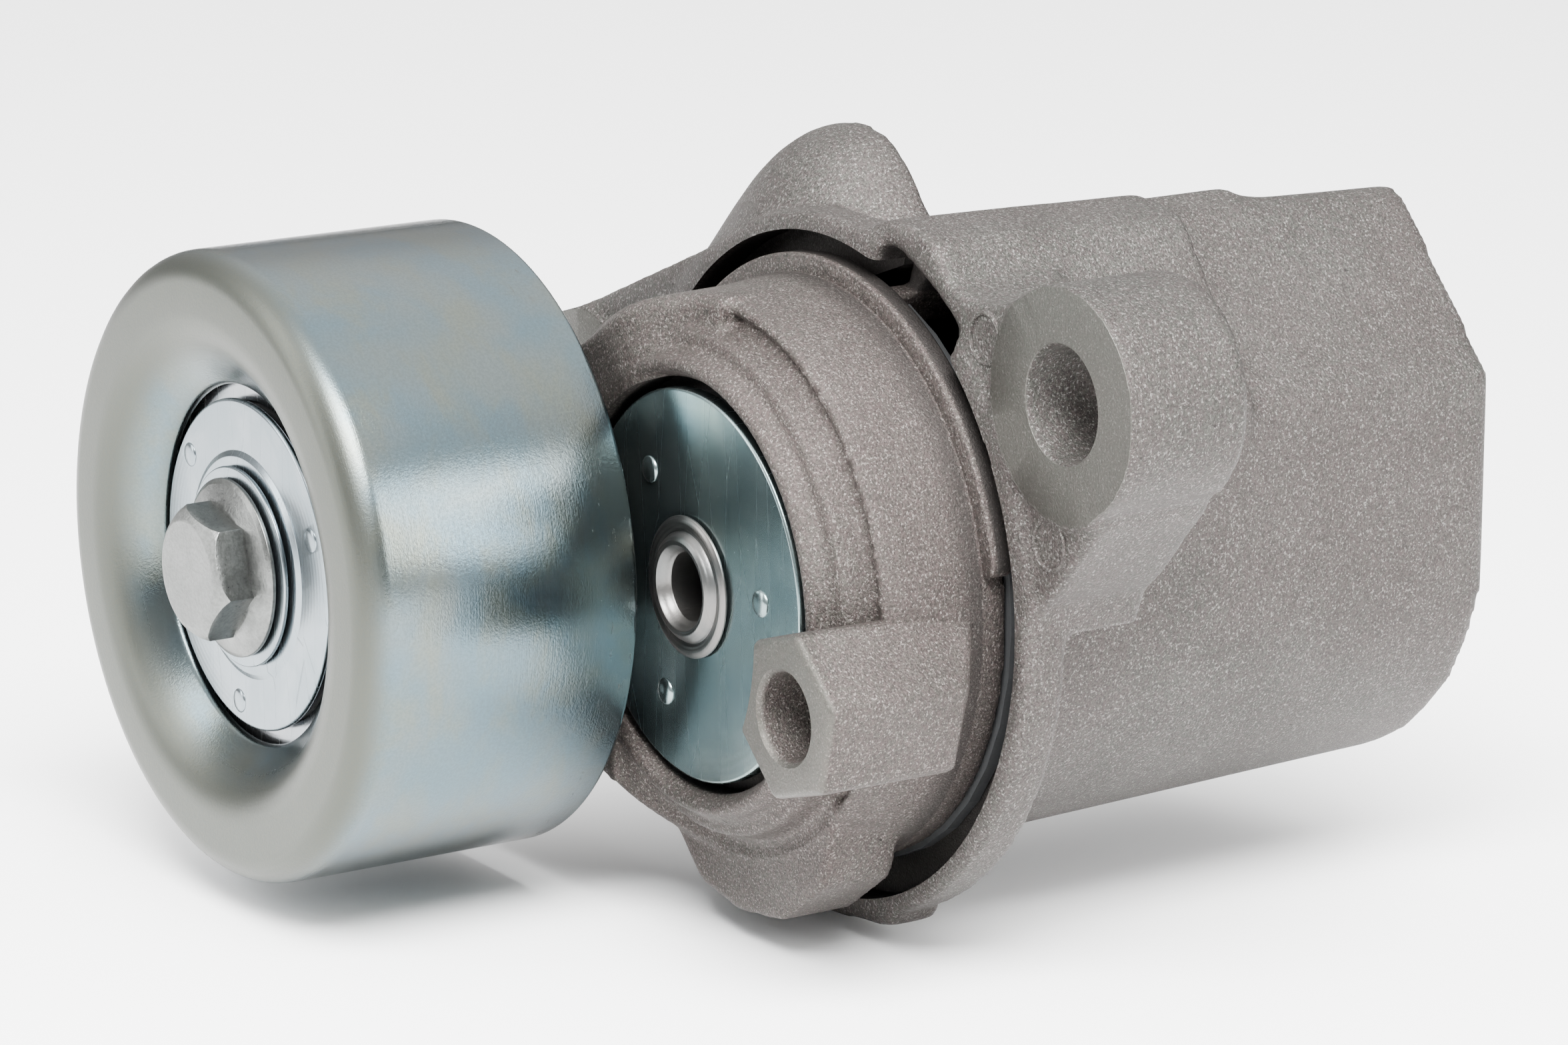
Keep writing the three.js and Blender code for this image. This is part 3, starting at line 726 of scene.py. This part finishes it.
class TENSIONER_OT_housing(bpy.types.Operator):
    """Model the cast housing with its can, rim, ears and tower"""

    bl_idname = "tensioner.housing"
    bl_label = "Housing"

    def execute(self, context):
        sizes = context.scene.tensioner_sizes
        finishes = context.scene.tensioner_finishes
        body = housing_form()
        pocket = prism("pocket", rounded([
            on_circle(27, POCKET_FROM), (*on_circle(36.3, POCKET_FROM), 1.5), *arc(36.3, 56, 68, 4),
            (*on_circle(36.3, POCKET_TO), 1.5), on_circle(27, POCKET_TO)]),
            RIM_FRONT - 3, -52.0)
        combine(body, [pocket], "DIFFERENCE")
        cast(body, sizes.housing_grid, passes=6)
        hole = sizes.ear_hole_radius / MM
        bore = rod("bore", BORE_RADIUS, RIM_FRONT - 3, BORE_FLOOR, steps=144)
        cavity = prism(
            "cavity", can_outline(CAVITY_SCALE), BORE_FLOOR - 1, CAVITY_REAR, front_scale=1.06)
        boss = rod("boss", 13.5, -33.7, 2.0)
        combine(cavity, [boss], "DIFFERENCE")
        seat = rod("seat", 8.3, -40.0, -3.0)
        ears = (EAR_RIGHT, EAR_LEFT)
        slabs = [rod("slab", 14.0, RIM_FRONT - 3, RIM_FRONT, centre, 48) for centre in ears]
        hole_profile = [
            (0, -70), (hole + 0.45, -70), (hole + 0.45, RIM_FRONT - 0.1), (hole, RIM_FRONT + 0.5),
            (hole, EAR_REAR - 0.4), (hole + 0.4, EAR_REAR + 2), (0, EAR_REAR + 2)]
        holes = [turned("ear_hole", hole_profile, centre, 72, closed=False) for centre in ears]
        combine(bore, [cavity, seat, *slabs, *holes])
        combine(body, [bore], "DIFFERENCE")
        ring_profile = [(2.15, -61.6), (2.3, -62.5), (2.5, -62.62), (2.7, -62.5), (2.85, -61.6)]
        ring_places = ((27.6, 28.4), (38.6, 10.4))
        combine(body, [turned("ejector_ring", ring_profile, place, 40) for place in ring_places])
        body.name = "cast_housing"
        material = cast_metal(
            "housing_casting", tuple(finishes.housing_cast), tuple(finishes.cast_speck_and_shade),
            grain=0.25, mark=1.1, machined=tuple(finishes.machined),
            faces=ear_faces, painted_shade=housing_painted_shade)
        finish_piece(body, "housing", ["housing"], material, 45)
        return {"FINISHED"}


def swept(name, profile, start, end, steps):
    """A closed (radius, y) profile spun from one angle to another about the pivot."""
    a = radians(start)
    piece = draw([(r * cos(a), y, r * sin(a)) for r, y in (*profile, profile[0])], name)
    bpy.ops.mesh.remove_doubles(threshold=1e-6)
    bpy.ops.mesh.edge_face_add()
    bpy.ops.mesh.spin(
        steps=steps, angle=radians(end - start), center=(0, 0, 0), axis=(0, 1, 0), use_auto_merge=False)
    bpy.ops.mesh.select_all(action="SELECT")
    bpy.ops.mesh.remove_doubles(threshold=1e-6)
    bpy.ops.mesh.normals_make_consistent(inside=False)
    bpy.ops.object.mode_set(mode="OBJECT")
    return piece


def ease(value, low, high):
    """A smooth step from 0 to 1 as value goes from low to high."""
    t = min(1.0, max(0.0, (value - low) / (high - low)))
    return t * t * (3 - 2 * t)


def side_face():
    """The flat face on the pulley's side of the hub, which sinks into the dome at both ends."""
    face = swept("face", [(18, -79.3), (28.0, -79.3), (29.0, -78.4), (29.3, -66), (18, -66)], 88, 268, 60)
    for vertex in face.data.vertices:
        x, y, z = vertex.co / MM
        angle = atan2(z, x) * 180 / pi % 360
        if y < -70:
            vertex.co.y += (4.6 * ease(angle, 228, 266) + 3.6 * ease(angle, 118, 90)) * MM
    return face


def lug_form():
    """The wrench hexagon, longest along its upper edge."""
    lug = prism("lug", arc(8.95, 17, 317, 5, LUG), LUG_FRONT, -63.4)
    for vertex in lug.data.vertices:
        place = vertex.co / MM
        if place.y > -70:
            vertex.co.y -= 5.4 * ease(place.z, 2.0, -3.6) * MM
    return bevel(lug, width=0.75, segments=3, angle=30)


def arm_form():
    """The arm's outside, before its edges are softened."""
    dome = turned("arm_form", [
        (0, -77.5), (21.2, -77.5), (21.3, -78.3), (21.9, -79.3), (22.7, -79.4), (23.3, -78.6),
        (23.8, -77.4), (24.3, -77.0), (24.9, -77.2), (25.4, -76.8), (25.8, -75.1), (26.3, -73.5),
        (26.9, -73.3), (27.4, -74.2), (27.9, -74.6), (28.4, -74.0), (28.8, -72.2), (29.0, -70.6),
        (29.8, -64.2), (29.8, -61.1), (0, -61.1)], steps=144, closed=False)
    reach_left = arc(14.0, 98, 262, 24, PULLEY)
    reach = prism("reach", [*reach_left, on_circle(27.5, 240), on_circle(27.5, 116)], -79.3, -66.5)
    boss = turned("boss", [
        (0, -95.3), (11.0, -95.3), (11.4, -81.0), (13.0, -79.0), (13.0, -75), (0, -75)],
        PULLEY, 72, closed=False)
    lobe = prism("lobe", rounded([
        (-12, -22), (-9.6, -28.2, 2.0), (-5.2, -32.6, 3.0), (2.0, -33.9, 3.0), (10.0, -32.9, 4.0),
        (17.6, -27.4, 4.0), (20, -18)]), -74.4, -66.0)
    tab = swept("tab", [
        (27.5, -62.2), (31.2, -62.2), (31.2, -58.6), (35.6, -58.6), (35.6, -54), (27.5, -54)], 69.8, 73.8, 3)
    return combine(dome, [side_face(), reach, boss, lobe, tab])


def flange_form():
    """The thin flange round the dome's rear edge, from the lug's upper side to the lobe."""
    flange = prism("flange", rounded([
        *arc(27, 250, 10, 40), (*on_circle(31.7, 10), 1.2), *arc(31.7, 14, 246, 80),
        (*on_circle(31.7, 250), 1.2)]), -63.6, -61.2)
    return bevel(flange, width=0.3, segments=2, angle=50)


class TENSIONER_OT_arm(bpy.types.Operator):
    """Model the cast arm with its domed hub, wrench hexagon, stop lobe and pulley boss"""

    bl_idname = "tensioner.arm"
    bl_label = "Arm"

    def execute(self, context):
        sizes = context.scene.tensioner_sizes
        finishes = context.scene.tensioner_finishes
        body = arm_form()
        clear = rod("clear", 20.7, -90, -77.6, steps=96)
        combine(body, [clear], "DIFFERENCE")
        cast(body, sizes.arm_grid, passes=2)
        combine(body, [flange_form(), lug_form()])
        recess = rod("recess", 21.0, -90, -75.1, steps=144)
        inside = turned("inside", [
            (HUB_OUTER, -71.3), (25.4, -71.3), (25.8, -55), (HUB_OUTER, -55)], steps=96)
        bore = rod("hub_bore", HUB_INNER, -80, -55, steps=72)
        bolt_hole = rod("bolt_hole", 4.3, -99, -60, PULLEY, 48)
        lug_hole = turned("lug_hole", [
            (0, -90), (4.95, -90), (4.95, LUG_FRONT - 0.1), (4.45, LUG_FRONT + 0.5),
            (4.35, LUG_FRONT + 0.9), (4.3, -74.6), (3.0, -73.5), (0, -73.5)], LUG, 72, closed=False)
        combine(recess, [inside, bore, bolt_hole, lug_hole])
        combine(body, [recess], "DIFFERENCE")
        hub = turned("hub", [
            (HUB_INNER, -71.6), (HUB_OUTER, -71.6), (HUB_OUTER, -35.5), (HUB_INNER, -35.5)], steps=72)
        combine(body, [hub])
        body.name = "cast_arm"
        material = cast_metal(
            "arm_casting", tuple(finishes.arm_cast), tuple(finishes.cast_speck_and_shade),
            grain=0.23, mark=1.5, machined=tuple(finishes.machined),
            faces=lug_face, painted_shade=arm_painted_shade)
        finish_piece(body, "arm", ["tensioner_arm"], material, 50)
        return {"FINISHED"}


class TENSIONER_OT_pulley(bpy.types.Operator):
    """Model the drawn steel pulley shell"""

    bl_idname = "tensioner.pulley"
    bl_label = "Pulley"

    def execute(self, context):
        sizes = context.scene.tensioner_sizes
        finishes = context.scene.tensioner_finishes
        outer = sizes.pulley_radius / MM
        edge = sizes.pulley_edge / MM
        front, rear = PULLEY_FRONT, PULLEY_REAR
        profile = rounded([
            (outer, rear, 0.6), (outer, front, edge), (24.4, front, 6.0),
            (LIP_RADIUS, front + 4.4, 1.0), (LIP_RADIUS, front + 5.1), (BEARING_SEAT, front + 5.6),
            (BEARING_SEAT, BEARING_SEAT_REAR, 0.4), (BEARING_SEAT_OUTER, BEARING_SEAT_REAR, 0.8),
            (BEARING_SEAT_OUTER, front + 6.4, 1.6), (25.4, front + 2.9, 2.0),
            (outer - PULLEY_WALL, front + 2.9, 2.0), (outer - PULLEY_WALL, rear, 0.8)], steps=8)
        shell = turned("pulley", profile, PULLEY)
        material = zinc_plate("zinc_plating", tuple(finishes.zinc), tuple(finishes.zinc_warm))
        finish_piece(shell, "pulley", ["pulley_shell"], material, 50)
        return {"FINISHED"}


def punched(piece, radius, angles, centre, face, size, height):
    """Adds small round domes to a turned face."""
    domes = []
    for angle in angles:
        x, z = on_circle(radius, angle, centre)
        domes.append(ball("dome", size, (x, face, z), (1, height / size, 1), 24))
    combine(piece, domes)


class TENSIONER_OT_shield(bpy.types.Operator):
    """Model the bright shield in the pulley's mouth and the washer under the bolt"""

    bl_idname = "tensioner.shield"
    bl_label = "Shield and Washer"

    def execute(self, context):
        finishes = context.scene.tensioner_finishes
        face = SHIELD_FACE
        shield = turned("dust_shield", rounded([
            (SHIELD_BORE, face - 0.3), (11.2, face - 0.3, 0.3), (11.8, face, 0.3),
            (SHIELD_RADIUS, face, 0.35), (SHIELD_RADIUS, face + 0.8, 0.3), (11.4, face + 0.8),
            (10.8, face + 1.4), (SHIELD_BORE, face + 1.4)]), PULLEY)
        punched(shield, 14.9, (142, 22, -98), PULLEY, face, size=1.25, height=0.28)
        material = turned_plate(
            "bright_plating", tuple(finishes.bright), PULLEY, rough=0.20, pitch=0.6, tint=0.08)
        finish_piece(shield, "arm", ["front_shield"], material, 35)

        front, rear = front_of("bolt_washer"), rear_of("bolt_washer")
        washer = turned("bolt_washer_ring", rounded([
            (SHIELD_BORE, front), (WASHER_RADIUS, front, 0.2), (WASHER_RADIUS, rear, 0.2),
            (SHIELD_BORE, rear)]), PULLEY)
        finish_piece(washer, "arm", ["bolt_washer"], material, 35)
        return {"FINISHED"}


class TENSIONER_OT_bolt(bpy.types.Operator):
    """Model the flange bolt that holds the pulley"""

    bl_idname = "tensioner.bolt"
    bl_label = "Bolt"

    def execute(self, context):
        sizes = context.scene.tensioner_sizes
        finishes = context.scene.tensioner_finishes
        corner = sizes.bolt_across_flats / MM / sqrt(3)
        front = BOLT_FRONT
        rear = front + 5.3
        head = prism("flange_bolt", arc(corner, -12, 288, 5, PULLEY), front - 0.2, rear - 0.5)
        crown = turned("crown", rounded([
            (0, front + 0.12), (3.6, front + 0.06), (5.5, front + 0.02, 0.6), (6.6, front + 0.75, 0.8),
            (7.2, front + 1.5), (7.3, rear), (0, rear)]), PULLEY, 96, closed=False)
        combine(head, [crown], "INTERSECT")
        bevel(head, width=0.28, segments=3, angle=40)
        flange = turned("flange", rounded([
            (0, rear - 1.55), (6.5, rear - 1.5, 1.0), (8.7, rear - 0.75, 0.8),
            (BOLT_FLANGE_RADIUS, rear - 0.45, 0.2), (BOLT_FLANGE_RADIUS, rear, 0.15),
            (0, rear)]), PULLEY, 96, closed=False)
        shank = rod("shank", BOLT_RADIUS, rear - 1.0, -70.5, PULLEY, 48)
        combine(head, [flange, shank])
        material = galvanised("galvanised_steel", tuple(finishes.galvanised))
        finish_piece(head, "arm", ["pulley_bolt"], material, 30)
        return {"FINISHED"}


class TENSIONER_OT_pivot(bpy.types.Operator):
    """Model the plated disc over the hub and the shaft's riveted end"""

    bl_idname = "tensioner.pivot"
    bl_label = "Pivot"

    def execute(self, context):
        finishes = context.scene.tensioner_finishes
        disc = turned("cover_disc", rounded([
            (DISC_BORE, DISC_FRONT), (DISC_RADIUS, DISC_FRONT, 0.35), (DISC_RADIUS, DISC_REAR, 0.3),
            (DISC_BORE, DISC_REAR)]))
        punched(disc, 12.9, (126, 5, -112), PIVOT, DISC_FRONT, size=1.4, height=0.5)
        material = turned_plate(
            "disc_plating", tuple(finishes.disc), PIVOT, rough=0.19, pitch=0.9, tint=0.12, depth=0.002)
        finish_piece(disc, "housing", ["retaining_disc"], material, 35)

        face = DISC_FRONT
        stub = turned("pivot_stub", rounded([
            (SHAFT_BORE, -70.0), (3.5, face + 1.5), (3.5, face - 0.1, 0.3), (4.35, face - 1.4, 0.2),
            (4.8, face - 1.5, 0.2), (5.4, face - 1.0), (5.65, face - 0.55, 0.08),
            (6.0, face - 0.72, 0.1), (6.6, face - 0.85, 0.2), (7.2, face - 0.5, 0.2),
            (7.2, face - 0.3), (6.3, face - 0.3), (6.3, SHAFT_SHOULDER), (SHAFT_RADIUS, SHAFT_SHOULDER),
            (SHAFT_RADIUS, -3.3), (SHAFT_BORE, -3.3)]))
        material = turned_plate(
            "turned_shaft", tuple(finishes.turned_steel), PIVOT,
            rough=0.30, pitch=0.42, tint=0.15, depth=0.03, dirt=0.3)
        finish_piece(stub, "housing", ["pivot_shaft"], material, 35)
        return {"FINISHED"}


class TENSIONER_OT_inner_pieces(bpy.types.Operator):
    """Finish the bearing, bushes, washers and spring that the frame already holds"""

    bl_idname = "tensioner.inner_pieces"
    bl_label = "Inner Pieces"

    def execute(self, context):
        finishes = context.scene.tensioner_finishes
        bearing = turned_plate("bearing_steel", tuple(finishes.bearing), PULLEY, rough=0.18, pitch=0.5)
        steel = wire_steel("spring_wire", tuple(finishes.spring))
        polymer = moulded("dark_polymer", tuple(finishes.polymer), rough=0.75)
        bush = moulded("bush_polymer", tuple(finishes.bush), rough=0.4)
        zinc = bpy.data.materials["zinc_plating"]
        paints = {
            "front_thrust_washer": polymer, "rear_thrust_washer": polymer, "friction_ring": polymer,
            "spring_sleeve": polymer, "bearing_seal_front": polymer, "bearing_seal_rear": polymer,
            "spring_seat": steel, "arm_spring_seat": steel, "torsion_spring": steel,
            "pivot_bush_front": bush, "pivot_bush_rear": bush, "ball_cage": bush,
            "bearing_sleeve": bearing, "bearing_inner_ring": bearing, "bearing_outer_ring": bearing,
            "rear_shield": zinc,
        }
        paints.update({name: bearing for name in frame["nodes"] if name.startswith("bearing_ball")})
        for name, paint in paints.items():
            node = frame["nodes"][name]
            node.data.materials.clear()
            node.data.materials.append(paint)
        return {"FINISHED"}


def softbox(name, azimuth, elevation, distance, width, height, power, target):
    """An area light on a sphere about the target. Azimuth 0 is in front of the pulley, 90 to the right."""
    a, e = radians(azimuth), radians(elevation)
    offset = Vector((sin(a) * cos(e), -cos(a) * cos(e), sin(e))) * distance
    deselect()
    bpy.ops.object.light_add(type="AREA", location=Vector(target) + offset)
    light = bpy.context.object
    light.name = name
    light.rotation_euler = offset.to_track_quat("Z", "Y").to_euler()
    light.data.shape = "RECTANGLE"
    light.data.size = width
    light.data.size_y = height
    light.data.energy = power


class TENSIONER_OT_stage(bpy.types.Operator):
    """Set the floor, lights and camera"""

    bl_idname = "tensioner.stage"
    bl_label = "Stage"

    def execute(self, context):
        finishes = context.scene.tensioner_finishes
        low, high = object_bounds()
        deselect()
        bpy.ops.mesh.primitive_plane_add(size=FLOOR_SIZE, location=(0, 0, 0))
        floor = bpy.context.object
        floor.name = "floor"
        bpy.ops.object.mode_set(mode="EDIT")
        bpy.ops.transform.translate(value=(0, 0, low[2] - FLOOR_GAP))
        bpy.ops.object.mode_set(mode="OBJECT")
        floor.data.materials.append(backdrop("floor_paint", tuple(finishes.floor)))
        floor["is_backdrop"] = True

        centre = [(a + b) / 2 for a, b in zip(low, high)]
        softbox("key", azimuth=62, elevation=55, distance=0.8,
                width=0.55, height=0.40, power=42.0, target=centre)
        softbox("front", azimuth=-28, elevation=24, distance=0.9,
                width=0.30, height=0.70, power=8.0, target=centre)
        softbox("side", azimuth=118, elevation=20, distance=0.9,
                width=0.22, height=0.45, power=6.0, target=centre)

        world = bpy.data.worlds.new("studio")
        world.use_nodes = True
        sky = Paint.of_tree(world.node_tree)
        up = sky.split(sky.node("ShaderNodeTexCoord", outputs="Generated"))[2]
        glow = sky.between(up, 0.08, 0.20, 0.12, 0.75) + sky.between(up, 0.30, 0.90, 0.0, 2.8)
        light = sky.node("ShaderNodeBackground", values={"Color": (1.0, 1.0, 1.0), "Strength": glow})
        sky.node("ShaderNodeOutputWorld", values={"Surface": light})
        context.scene.world = world

        deselect()
        bpy.ops.object.camera_add(location=CAMERA_PLACE)
        camera = bpy.context.object
        camera.rotation_euler = Vector(CAMERA_DIRECTION).to_track_quat("-Z", "Y").to_euler()
        camera.data.sensor_width = 36.0
        camera.data.lens = CAMERA_LENS
        context.scene.camera = camera
        return {"FINISHED"}


class TENSIONER_PT_panel(bpy.types.Panel):
    """Lists the operators in the order that they're run."""

    bl_idname = "TENSIONER_PT_panel"
    bl_label = "Belt Tensioner"
    bl_space_type = "VIEW_3D"
    bl_region_type = "UI"
    bl_category = "Tensioner"

    def draw(self, context):
        for operator in OPERATORS:
            self.layout.operator(operator.bl_idname)
        for group in (context.scene.tensioner_sizes, context.scene.tensioner_finishes):
            for name in group.bl_rna.properties.keys():
                if name not in ("rna_type", "name"):
                    self.layout.prop(group, name)


OPERATORS = (
    TENSIONER_OT_housing,
    TENSIONER_OT_arm,
    TENSIONER_OT_pulley,
    TENSIONER_OT_shield,
    TENSIONER_OT_bolt,
    TENSIONER_OT_pivot,
    TENSIONER_OT_inner_pieces,
    TENSIONER_OT_stage,
)
CLASSES = (TensionerSizes, TensionerFinishes, *OPERATORS, TENSIONER_PT_panel)


def register():
    for cls in CLASSES:
        bpy.utils.register_class(cls)
    bpy.types.Scene.tensioner_sizes = PointerProperty(type=TensionerSizes)
    bpy.types.Scene.tensioner_finishes = PointerProperty(type=TensionerFinishes)


def unregister():
    del bpy.types.Scene.tensioner_finishes
    del bpy.types.Scene.tensioner_sizes
    for cls in reversed(CLASSES):
        bpy.utils.unregister_class(cls)


def main():
    register()
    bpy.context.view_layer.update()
    for operator in OPERATORS:
        group, name = operator.bl_idname.split(".")
        getattr(getattr(bpy.ops, group), name)()


if __name__ == "__main__":
    main()
